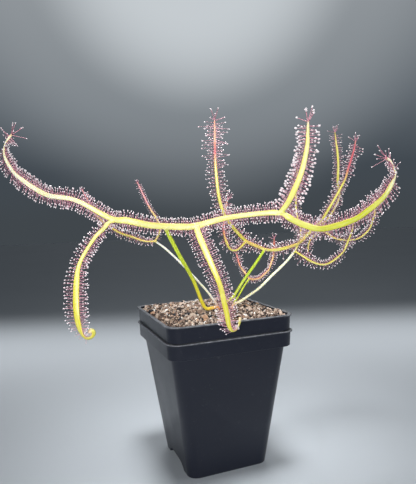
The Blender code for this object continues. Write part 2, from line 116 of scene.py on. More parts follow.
def ramp(tree, source, stops, mode="LINEAR"):
    made = node(tree, "ShaderNodeValToRGB")
    made.color_ramp.interpolation = mode
    elements = made.color_ramp.elements
    while len(elements) < len(stops):
        elements.new(0.5)
    for element, (place, colour) in zip(elements, stops):
        element.position = place
        if not isinstance(colour, tuple):
            colour = (colour, colour, colour)
        element.color = (*colour, 1.0)
    tree.links.new(source, made.inputs["Fac"])
    return made.outputs["Color"]


def mix(tree, factor, a, b):
    made = node(tree, "ShaderNodeMix", data_type="RGBA")
    for place, value in ((0, factor), (6, a), (7, b)):
        feed(tree, made.inputs[place], value)
    return made.outputs[2]


def math_node(tree, operation, a, b=0.0, clamp=False):
    made = node(tree, "ShaderNodeMath", operation=operation, use_clamp=clamp)
    feed(tree, made.inputs[0], a)
    feed(tree, made.inputs[1], b)
    return made.outputs[0]


def times(tree, a, b):
    return math_node(tree, "MULTIPLY", a, b)


def past(tree, a, b, slope):
    """0 where a is under b, then rising to 1 at the slope per metre."""
    return math_node(tree, "MULTIPLY", math_node(tree, "SUBTRACT", a, b), slope, True)


def attribute(tree, name):
    return node(tree, "ShaderNodeAttribute", attribute_name=name).outputs["Fac"]


def bump(tree, shader, height, strength, distance):
    made = node(tree, "ShaderNodeBump", Strength=strength, Distance=distance)
    tree.links.new(height, made.inputs["Height"])
    tree.links.new(made.outputs["Normal"], shader.inputs["Normal"])


def paint(tree, shader, colour, **values):
    """Links the base colour and sets sockets by name, an underscore for each space."""
    tree.links.new(colour, shader.inputs["Base Color"])
    for key, value in values.items():
        shader.inputs[key.replace("_", " ")].default_value = value


def two_tone(name, scale, stops, **values):
    """A material whose colour wanders between the stops."""
    material, tree, shader = new_material(name)
    paint(tree, shader, ramp(tree, noise_node(tree, scale, 2.0), stops), **values)
    return material


# Mesh helpers
def add_object(name, data):
    obj = bpy.data.objects.new(name, data)
    bpy.context.scene.collection.objects.link(obj)
    return obj


def add_mesh(name, points, faces, materials, smooth=True, slots=None):
    """One object from points in millimetres and faces as rows of point numbers."""
    mesh = bpy.data.meshes.new(name)
    mesh.from_pydata(np.asarray(points, float) * MM, [], faces)
    mesh.polygons.foreach_set("use_smooth", [smooth] * len(mesh.polygons))
    for material in materials:
        mesh.materials.append(material)
    if slots is not None:
        mesh.polygons.foreach_set("material_index", np.asarray(slots, np.int32))
    mesh.validate()
    mesh.update()
    return add_object(name, mesh)


def applied(obj):
    """Applies every modifier of obj to its mesh."""
    graph = bpy.context.evaluated_depsgraph_get()
    mesh = bpy.data.meshes.new_from_object(obj.evaluated_get(graph))
    obj.modifiers.clear()
    obj.data = mesh


def bands(rings, count):
    """Quads between one ring of count points and the next."""
    faces = []
    for i in range(rings - 1):
        for j in range(count):
            a = i * count + j
            b = i * count + (j + 1) % count
            faces.append((a, b, b + count, a + count))
    return faces


def stack_rings(rings):
    """Points and faces of a closed solid: bands of quads between the rings and a cap on each end."""
    count = len(rings[0])
    points = [tuple(p) for ring in rings for p in ring]
    last = len(points) - count
    caps = [tuple(range(count - 1, -1, -1)), tuple(last + j for j in range(count))]
    return points, bands(len(rings), count) + caps


def join_parts(parts):
    """One list of points and one of faces from several pairs of them."""
    points, faces = [], []
    for more, polygons in parts:
        faces += [tuple(i + len(points) for i in polygon) for polygon in polygons]
        points += more
    return points, faces


def shade_smooth(obj):
    obj.data.polygons.foreach_set("use_smooth", [True] * len(obj.data.polygons))


def settle(obj, slot, *nodes):
    """Hides the solids that obj stands in for and hangs obj on the root body; the slot is not used."""
    if nodes:
        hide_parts(*nodes)
    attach(obj, "root")


# Camera: place and clipping range in metres, yaw, pitch and roll in degrees, lens and sensor in millimetres
CAMERA_PLACE = (-0.124, -0.315, 0.170)
CAMERA_TURNS = (21.5, -2.8, -1.8)
CAMERA_LENS = 35.33
CAMERA_SENSOR = 36.0
CAMERA_RANGE = (0.01, 20.0)


def set_camera():
    yaw, pitch, roll = (radians(turn) for turn in CAMERA_TURNS)
    ahead = Vector((sin(yaw) * cos(pitch), cos(yaw) * cos(pitch), sin(pitch)))
    level = Vector((cos(yaw), -sin(yaw), 0.0))
    over = level.cross(ahead)
    right = level * cos(roll) + over * sin(roll)
    over = right.cross(ahead)
    data = bpy.data.cameras.new("photo_camera")
    data.sensor_width = CAMERA_SENSOR
    data.lens = CAMERA_LENS
    data.clip_start, data.clip_end = CAMERA_RANGE
    camera = add_object("photo_camera", data)
    camera.rotation_mode = "QUATERNION"
    camera.rotation_quaternion = Matrix((right, over, -ahead)).transposed().to_quaternion()
    camera.location = CAMERA_PLACE
    bpy.context.scene.camera = camera


# Floor: half its width in millimetres, and its colours
FLOOR_HALF = 4000.0
FLOOR_TONES = ((0.3, (0.49, 0.53, 0.57)), (0.7, (0.51, 0.55, 0.59)))


def set_floor():
    material = two_tone("floor_paint", 3.0, FLOOR_TONES, Roughness=0.6, Specular_IOR_Level=0.1)
    corners = [(x * FLOOR_HALF, y * FLOOR_HALF, 0.0) for x, y in ((-1, -1), (1, -1), (1, 1), (-1, 1))]
    floor = add_mesh("floor", corners, [(0, 1, 2, 3)], [material], False)


# Area lights: name, place, target and size in metres, power in watts, spread in degrees.
LIGHTS = (
    ("top", (0.0, -0.04, 0.80), (0.0, -0.02, 0.15), (0.22, 0.20), 0.20, 30.0),
    ("key", (-0.42, -0.82, 0.25), (0.0, -0.03, 0.19), (0.45, 0.26), 0.92, 52.0),
    ("left", (-0.75, 0.12, 0.24), (0.0, 0.0, 0.10), (0.4, 0.35), 0.10, 80.0),
    ("right", (0.80, -0.35, 0.36), (0.06, 0.0, 0.17), (0.4, 0.4), 0.3, 60.0),
    ("pool", (0.22, 0.57, 0.56), (0.10, 0.25, 0.0), (1.2, 0.16), 1.0, 46.0),
)
# World: colours from level with the horizon up to overhead, and a soft glow high behind the plant.
WORLD_STOPS = (
    (0.0, (0.053, 0.063, 0.072)), (0.10, (0.055, 0.068, 0.082)), (0.22, (0.11, 0.13, 0.15)),
    (0.42, (0.19, 0.21, 0.23)), (0.6, (0.03, 0.033, 0.036)), (1.0, (0.02, 0.022, 0.025)),
)
GLOW_WAY = (0.31, 0.81, 0.50)
GLOW_STOPS = ((0.86, 0.0), (0.95, 0.25), (0.995, 1.0))
GLOW_COLOUR = (0.56, 0.60, 0.63)


def add_light(name, place, target, size, power, spread):
    data = bpy.data.lights.new(name, "AREA")
    data.shape = "RECTANGLE"
    data.size, data.size_y = size
    data.energy = power
    data.spread = radians(spread)
    light = add_object(name, data)
    light.location = place
    way = Vector(target) - Vector(place)
    light.rotation_mode = "QUATERNION"
    light.rotation_quaternion = way.to_track_quat("-Z", "Y")
    light.visible_camera = False


def set_world():
    world = bpy.data.worlds.new("studio")
    bpy.context.scene.world = world
    world.use_nodes = True
    tree = world.node_tree
    back = tree.nodes["Background"]
    way = node(tree, "ShaderNodeTexCoord").outputs["Generated"]
    split = node(tree, "ShaderNodeSeparateXYZ")
    tree.links.new(way, split.inputs[0])
    plain = ramp(tree, split.outputs["Z"], WORLD_STOPS)
    glow = node(tree, "ShaderNodeVectorMath", operation="DOT_PRODUCT")
    tree.links.new(way, glow.inputs[0])
    glow.inputs[1].default_value = GLOW_WAY
    patch = ramp(tree, glow.outputs["Value"], GLOW_STOPS, "EASE")
    tree.links.new(mix(tree, patch, plain, GLOW_COLOUR), back.inputs["Color"])
    back.inputs["Strength"].default_value = 1.0


def set_lights():
    set_world()
    for light in LIGHTS:
        add_light(*light)


# Pots: more sizes in millimetres, and an angle in degrees
EDGE_ROUNDING = 0.45
EDGE_STEPS = 3
FOOT_CHAMFER = 1.6
ARCH_STEPS = 24
ARCH_POWER = 5
ARCH_NEAR = 24.5
ARCH_FAR = 31.0
SHARP_ANGLE = 38.0


def square_ring(half, corner, z, steps=10):
    """A rounded square at height z, half as wide as given."""
    points = []
    for sx, sy, start in ((1, 1, 0.0), (-1, 1, 90.0), (-1, -1, 180.0), (1, -1, 270.0)):
        for i in range(steps + 1):
            angle = radians(start + 90.0 * i / steps)
            x = sx * (half - corner) + corner * cos(angle)
            y = sy * (half - corner) + corner * sin(angle)
            points.append((x, y, z))
    return points


def wall_half(z):
    """Half the inner width of the tapered wall at height z."""
    run = (z - POT_FLOOR) / (SHOULDER_Z + POT_WALL - POT_FLOOR)
    return POT_BASE - POT_WALL + 0.2 + run * (POT_SHOULDER - POT_BASE - 0.15)


def rounded_profile(corners):
    """The profile with a short arc for each corner between its ends."""
    out = []
    for i, (half, z, rim) in enumerate(corners):
        if i in (0, len(corners) - 1):
            out.append((half, z, rim))
            continue
        here = Vector((half, z))
        before = Vector(corners[i - 1][:2])
        after = Vector(corners[i + 1][:2])
        cut = min(EDGE_ROUNDING, 0.42 * (before - here).length, 0.42 * (after - here).length)
        a = here + (before - here).normalized() * cut
        b = here + (after - here).normalized() * cut
        for n in range(EDGE_STEPS + 1):
            t = n / EDGE_STEPS
            p = a * (1 - t) ** 2 + here * (2 * t * (1 - t)) + b * t * t
            out.append((p.x, p.y, rim))
    return out


def pot_corners():
    """The wall section, up the outside and down the inside: half width, height, corner radius."""
    ledge = SHOULDER_Z + POT_WALL
    inner_band = BAND_LOW - POT_WALL
    lip_corner = CORNER_TOP + 0.6
    inner_corner = CORNER_TOP - 0.5
    return [
        (POT_BASE - FOOT_CHAMFER, 0.0, CORNER_BASE - 1.0),
        (POT_BASE, 0.0, CORNER_BASE),
        (POT_SHOULDER, SHOULDER_Z, CORNER_TOP),
        (BAND_LOW, SHOULDER_Z, CORNER_TOP),
        (BAND_HIGH, LIP_UNDER_Z, CORNER_TOP),
        (LIP, LIP_UNDER_Z, lip_corner),
        (LIP, LIP_TOP_Z, lip_corner),
        (inner_band, LIP_TOP_Z, inner_corner),
        (inner_band, ledge, inner_corner),
        (wall_half(ledge), ledge, CORNER_TOP - POT_WALL),
        (wall_half(POT_FLOOR), POT_FLOOR, CORNER_BASE - POT_WALL),
        (wall_half(POT_FLOOR) - 2.0, POT_FLOOR, CORNER_BASE - 2.5),
    ]


def arch_cutter(side, lift):
    """The low arch that is cut out of the foot of a side wall."""
    arch = []
    for i in range(ARCH_STEPS + 1):
        t = -1.0 + 2.0 * i / ARCH_STEPS
        arch.append((0.5 * ARCH_WIDTH * t, ARCH_HEIGHT * (1.0 - abs(t) ** ARCH_POWER) + lift))
    arch = [(arch[0][0], lift - 1.0)] + arch + [(arch[-1][0], lift - 1.0)]
    near = [(side * ARCH_NEAR, y, z) for y, z in arch]
    far = [(side * ARCH_FAR, y, z) for y, z in arch]
    if side > 0:
        near.reverse()
        far.reverse()
    return add_mesh("cutter", *stack_rings([near, far]), [], False)


def build_pot(name, lift, material):
    rings = [square_ring(half, rim, z + lift) for half, z, rim in rounded_profile(pot_corners())]
    pot = add_mesh(name, *stack_rings(rings), [material])
    cutters = [arch_cutter(side, lift) for side in (-1, 1)]
    for cutter in cutters:
        cut = pot.modifiers.new("arch", "BOOLEAN")
        cut.operation = "DIFFERENCE"
        cut.object = cutter
        cut.solver = "EXACT"
    applied(pot)
    for cutter in cutters:
        bpy.data.objects.remove(cutter, do_unlink=True)
    shade_smooth(pot)
    pot.data.set_sharp_from_angle(angle=radians(SHARP_ANGLE))
    return pot


PLASTIC_TONES = ((0.008, 0.0095, 0.017), (0.013, 0.0155, 0.025))
SCUFF_TONE = (0.14, 0.14, 0.145)
DUST_TONE = (0.35, 0.33, 0.30)
# Colour of the lighter lip band: partly wear, partly a painted highlight of the lip edge.
WEAR_AND_HIGHLIGHT_TONE = (0.24, 0.25, 0.27)


def pot_material():
    """Black plastic with faint scuffs and dust, and a lighter line along the edge of each lip that is partly
    wear and partly a painted highlight.
    """
    material, tree, shader = new_material("pot_black")
    base = mix(tree, noise_node(tree, 22.0, 3.0), *PLASTIC_TONES)
    scuff = ramp(tree, noise_node(tree, 260.0, 6.0, 0.7), ((0.62, 0.0), (0.74, 1.0)))
    base = mix(tree, times(tree, scuff, 0.20), base, SCUFF_TONE)
    specks = ramp(tree, noise_node(tree, 1900.0, 1.0), ((0.74, 0.0), (0.80, 1.0)))
    base = mix(tree, times(tree, specks, 0.30), base, DUST_TONE)
    height = axes(tree)["Z"]
    # Painted highlight: a lighter band along the top of each lip, partly wear and partly the highlight of the
    # lip edge.
    wear_and_highlight = ramp(tree, noise_node(tree, 300.0, 5.0, 0.7), ((0.35, 0.25), (0.65, 0.9)))
    for top in (LIP_TOP_Z, LIP_TOP_Z + STACK_RISE):
        gap = math_node(tree, "ABSOLUTE", math_node(tree, "SUBTRACT", height, (top - 0.1) * MM))
        band = ramp(tree, times(tree, gap, 1000.0), ((0.25, 1.0), (0.75, 0.0)))
        base = mix(tree, times(tree, band, wear_and_highlight), base, WEAR_AND_HIGHLIGHT_TONE)
    paint(tree, shader, base, Specular_IOR_Level=0.32)
    rough = ramp(tree, noise_node(tree, 60.0, 2.0), ((0.1, 0.30), (0.9, 0.38)))
    tree.links.new(rough, shader.inputs["Roughness"])
    bump(tree, shader, noise_node(tree, 1400.0, 2.0), 0.10, 0.0002)
    return material


# Soil: sizes in millimetres
SOIL_SPREAD = 42.0
SOIL_BACK_RISE = 2.6
SOIL_SMOOTH_REACH = 22.0
INNER_BAND = BAND_LOW - POT_WALL
BED_UNDER_Z = 84.7
BED_CORNER = 8.0
BED_RINGS = 36
BED_SINK = 0.7
BED_EDGE_SINK = 0.6
GRAIN_SINK = 0.45
FINE_GRAIN = 0.4
CROWN_CLEAR = 7.6
CROWN_FINE_CLEAR = 3.8
FIBRE_COUNT = 420
FIBRE_CLEAR = 9.0
FIBRE_POINTS = 6
FIBRE_SIDES = (0.0, 2.1, 4.2)


def from_crown(x, y):
    return hypot(x - CROWN[0], y - CROWN[1])


def soil_height(x, y):
    """A mound that rises to the back and the right, with waves that calm at the crown."""
    edge = max(abs(x), abs(y)) / SOIL_SPREAD
    mound = SOIL_MOUND * max(0.0, 1.0 - edge ** 3)
    waves = 0.55 * sin(0.31 * x + 1.3) * cos(0.27 * y - 0.4)
    waves += 0.4 * sin(0.61 * x - 0.45 * y + 2.0)
    back = SOIL_BACK_RISE * max(0.0, y - 4.0, 0.9 * x - 4.0) / 38.0
    waves *= min(1.0, from_crown(x, y) / SOIL_SMOOTH_REACH)
    return SOIL_EDGE_Z + mound + back + waves


def wander(x, y, layer, scale):
    """Smooth noise over the soil, of its own for each layer."""
    return noise.noise(Vector((x, y, layer)) * scale)


def soil_lump(x, y):
    """Uneven height that the bed and the grains on it share."""
    return wander(x, y, 3.0, 0.34) * 1.1


def build_soil_bed(material):
    reach = INNER_BAND - 0.3
    under = BED_UNDER_Z + STACK_RISE
    foot = POT_FLOOR + 0.3 + STACK_RISE
    rings = [
        square_ring(wall_half(2.0) - 0.4, CORNER_BASE - POT_WALL, foot, 12),
        square_ring(wall_half(84.0) - 0.4, CORNER_TOP - POT_WALL, under, 12),
        square_ring(reach, CORNER_TOP - 0.5, under, 12),
    ]
    for n in range(BED_RINGS):
        share = max(1.0 - n / BED_RINGS, 0.03)
        half = reach * share
        corner = max(half * 0.5, 1.0) if share < 0.9 else BED_CORNER
        sink = BED_SINK + (BED_EDGE_SINK if n == 0 else 0.0)
        ring = []
        for x, y, _ in square_ring(half, min(corner, half * 0.98), 0.0, 12):
            fine = wander(x, y, 9.0, 1.7) * 0.35
            ring.append((x, y, soil_height(x, y) + soil_lump(x, y) + fine - sink))
        rings.append(ring)
    return add_mesh("soil_bed", *stack_rings(rings), [material])


def ico_points():
    """Corners and triangles of an icosahedron of radius 1."""
    t = (1.0 + 5.0 ** 0.5) / 2.0
    flat = [(a, b, 0.0) for b in (t, -t) for a in (-1.0, 1.0)]
    pts = np.array([np.roll(p, turn) for turn in range(3) for p in flat])
    pts /= np.linalg.norm(pts[0])
    tris = np.array([(0, 11, 5), (0, 5, 1), (0, 1, 7), (0, 7, 10), (0, 10, 11), (1, 5, 9), (5, 11, 4),
                     (11, 10, 2), (10, 7, 6), (7, 1, 8), (3, 9, 4), (3, 4, 2), (3, 2, 6), (3, 6, 8),
                     (3, 8, 9), (4, 9, 5), (2, 4, 11), (6, 2, 10), (8, 6, 7), (9, 8, 1)])
    return pts, tris


def random_turn(gen):
    """A rotation matrix drawn evenly from all turns."""
    return np.array(Quaternion(gen.normal(size=4)).normalized().to_matrix())


# Grains: how many are tried, least and greatest size in millimetres, and rise as a share of the size.
GRAIN_SIZES = ((130, 1.5, 2.8, 0.05), (950, 0.75, 1.5, 0.2), (2900, 0.4, 0.8, 0.0), (4300, 0.2, 0.4, 0.0))
# Shares of the five kinds of grain, where the soil is dry and pale and where it is damp and dark.
PALE_SHARES = (0.53, 0.22, 0.09, 0.09, 0.07)
DARK_SHARES = (0.20, 0.40, 0.04, 0.32, 0.04)
DAMP_FROM = 0.03


def grain_fits(x, y, size, reach):
    """Inside the pot and off the crown, which only fine grains come near."""
    if max(abs(x), abs(y)) > reach - size * 0.8:
        return False
    corner = reach - BED_CORNER
    if abs(x) > corner and abs(y) > corner:
        if hypot(abs(x) - corner, abs(y) - corner) > BED_CORNER - size:
            return False
    near = from_crown(x, y)
    if near < CROWN_CLEAR + size and size > FINE_GRAIN:
        return False
    return near >= CROWN_FINE_CLEAR


def build_grains(materials):
    gen = np.random.default_rng(77)
    pts, tris = ico_points()
    points, faces, slots = [], [], []
    reach = INNER_BAND - 0.6
    for count, low, high, rise in GRAIN_SIZES:
        for _ in range(count):
            size = low + (high - low) * gen.random() ** 1.8
            x, y = gen.uniform(-reach, reach, 2)
            if not grain_fits(x, y, size, reach):
                continue
            z = soil_height(x, y) + soil_lump(x, y) - GRAIN_SINK + rise * size
            shape = pts * gen.uniform(0.62, 1.2, (len(pts), 1)) * gen.uniform(0.45, 1.25, 3) * size
            shape = shape @ random_turn(gen).T
            faces.append(tris + len(points) * len(pts))
            points.append(shape + (x, y, z))
            damp = wander(x, y, 21.0, 0.24) + wander(x, y, 4.0, 0.6) * 0.5
            shares = DARK_SHARES if damp > DAMP_FROM else PALE_SHARES
            slots.append(np.full(len(tris), gen.choice(len(shares), p=shares)))
    return add_mesh("soil_grains", np.concatenate(points), np.concatenate(faces), materials, False,
                    np.concatenate(slots))


def fibre(gen, x, y, reach):
    """One thin curved tube that lies over the soil around x and y."""
    angle = gen.uniform(0.0, 2.0 * pi)
    bend = gen.normal(0.0, 0.5)
    length = gen.uniform(1.5, 4.5)
    radius = gen.uniform(0.07, 0.15)
    lift = gen.uniform(0.2, 0.9)
    limit = reach + 1.5
    rings = []
    for n in range(FIBRE_POINTS):
        t = n / (FIBRE_POINTS - 1)
        way = angle + bend * t
        px = max(-limit, min(limit, x + cos(way) * length * (t - 0.5)))
        py = max(-limit, min(limit, y + sin(way) * length * (t - 0.5)))
        z = soil_height(px, py) - 0.1 + lift * sin(pi * t)
        turn = way + pi / 2.0
        thin = radius * (1.0 - 0.5 * abs(2.0 * t - 1.0))
        rings.append([(px + cos(turn) * thin * cos(a), py + sin(turn) * thin * cos(a),
                       z + thin * sin(a)) for a in FIBRE_SIDES])
    return stack_rings(rings)


def build_fibres(material):
    """Short curved root and moss fibres lying on the soil."""
    gen = np.random.default_rng(31)
    reach = INNER_BAND - 3.0
    fibres = []
    for _ in range(FIBRE_COUNT):
        x, y = gen.uniform(-reach, reach, 2)
        if from_crown(x, y) >= FIBRE_CLEAR:
            fibres.append(fibre(gen, x, y, reach))
    return add_mesh("soil_fibres", *join_parts(fibres), [material])


def grain_material(name, dark, light, roughness):
    """Mottled matt crumbs between a dark and a light colour."""
    material, tree, shader = new_material(name)
    fac = ramp(tree, noise_node(tree, 420.0, 4.0, 0.6), ((0.3, 0.0), (0.7, 1.0)))
    paint(tree, shader, mix(tree, fac, dark, light), Roughness=roughness)
    bump(tree, shader, noise_node(tree, 2200.0, 3.0), 0.4, 0.0002)
    return material


# Leaf curves: sizes in millimetres
STRAP_STEP = 0.8
STRAP_SIDES = 14
STRAP_HALF_THICK = 0.55
VOXEL = 0.30
STEM_SIDES = 12
KNOT_STEPS = 16
# How strongly the hairy side turns upwards and into a bend, against away from the camera.
FACE_UP = 0.25
FACE_BEND = 9.0
FACE_BEND_MOST = 1.3


def smooth_curve(knots, step):
    """Even points along a smooth curve through the knots."""
    pts = [Vector(k) for k in knots]
    ext = [pts[0] * 2.0 - pts[1]] + pts + [pts[-1] * 2.0 - pts[-2]]
    fine = []
    for i in range(1, len(ext) - 2):
        a, b, c, d = ext[i - 1], ext[i], ext[i + 1], ext[i + 2]
        for n in range(KNOT_STEPS):
            t = n / KNOT_STEPS
            p = b * 2.0 + (c - a) * t + (a * 2.0 - b * 5.0 + c * 4.0 - d) * t * t
            p += (b * 3.0 - a - c * 3.0 + d) * t ** 3
            fine.append(p * 0.5)
    fine.append(pts[-1].copy())
    line = np.array([tuple(p) for p in fine])
    lengths = np.concatenate([[0.0], np.cumsum(np.linalg.norm(np.diff(line, axis=0), axis=1))])
    count = max(3, int(round(lengths[-1] / step)))
    even = np.linspace(0.0, lengths[-1], count + 1)
    return np.stack([np.interp(even, lengths, line[:, k]) for k in range(3)], 1), lengths[-1]


def blur(values, rounds):
    """The values smoothed along a strap, with both ends held."""
    for _ in range(rounds):
        inner = 0.25 * values[:-2] + 0.5 * values[1:-1] + 0.25 * values[2:]
        values = np.concatenate([values[:1], inner, values[-1:]])
    return values


def unit(v):
    return v / np.maximum(np.linalg.norm(v, axis=-1, keepdims=True), 1e-9)


def strap_frames(knots, step):
    """Points, directions, hairy-side directions and widthwise directions along a strap, and its length."""
    line, total = smooth_curve(knots, step)
    line = blur(line, 3)
    tangent = unit(np.gradient(line, axis=0))
    curve = blur(np.gradient(tangent, axis=0) / step, 6)
    size = np.linalg.norm(curve, axis=1, keepdims=True)
    want = np.array(tuple(AWAY + UP * FACE_UP)) + unit(curve) * np.minimum(FACE_BEND_MOST, size * FACE_BEND)
    face = unit(want - tangent * (want * tangent).sum(1, keepdims=True))
    face = unit(blur(face, 8))
    face = unit(face - tangent * (face * tangent).sum(1, keepdims=True))
    return line, tangent, face, np.cross(face, tangent), total


def widths_along(widths, count):
    return np.interp(np.linspace(0, 1, count), np.linspace(0, 1, len(widths)), widths)


def strap_mesh(knots, widths):
    """A strap with a low midrib on its smooth side and a shallow channel on its hairy side."""
    line, _, face, side, _ = strap_frames(knots, STRAP_STEP)
    width = blur(widths_along(widths, len(line)), 4)
    rings = []
    for p, f, s, w in zip(line, face, side, width):
        half = 0.5 * w
        thick = min(STRAP_HALF_THICK, half * 0.9)
        ring = []
        for j in range(STRAP_SIDES):
            a = 2.0 * pi * j / STRAP_SIDES
            u = half * copysign(abs(cos(a)) ** 0.7, cos(a))
            v = thick * copysign(abs(sin(a)) ** 0.6, sin(a))
            if v > 0:
                v *= 0.72 + 0.3 * abs(u / half)
            else:
                v *= 0.85 + 0.25 * (1.0 - abs(u / half)) ** 2
            ring.append(p + s * u + f * v)
        rings.append(ring)
    return stack_rings(rings)


def stem_mesh(knots, radii):
    """A round stem."""
    line, _ = smooth_curve(knots, 1.0)
    line = blur(line, 2)
    tangent = unit(np.gradient(line, axis=0))
    radius = widths_along(radii, len(line))
    side = np.array((1.0, 0.0, 0.0))
    turns = [2 * pi * j / STEM_SIDES for j in range(STEM_SIDES)]
    rings = []
    for p, t, r in zip(line, tangent, radius):
        side = unit(side - t * np.dot(side, t))
        other = np.cross(t, side)
        rings.append([p + side * (r * cos(a)) + other * (r * sin(a)) for a in turns])
    return stack_rings(rings)


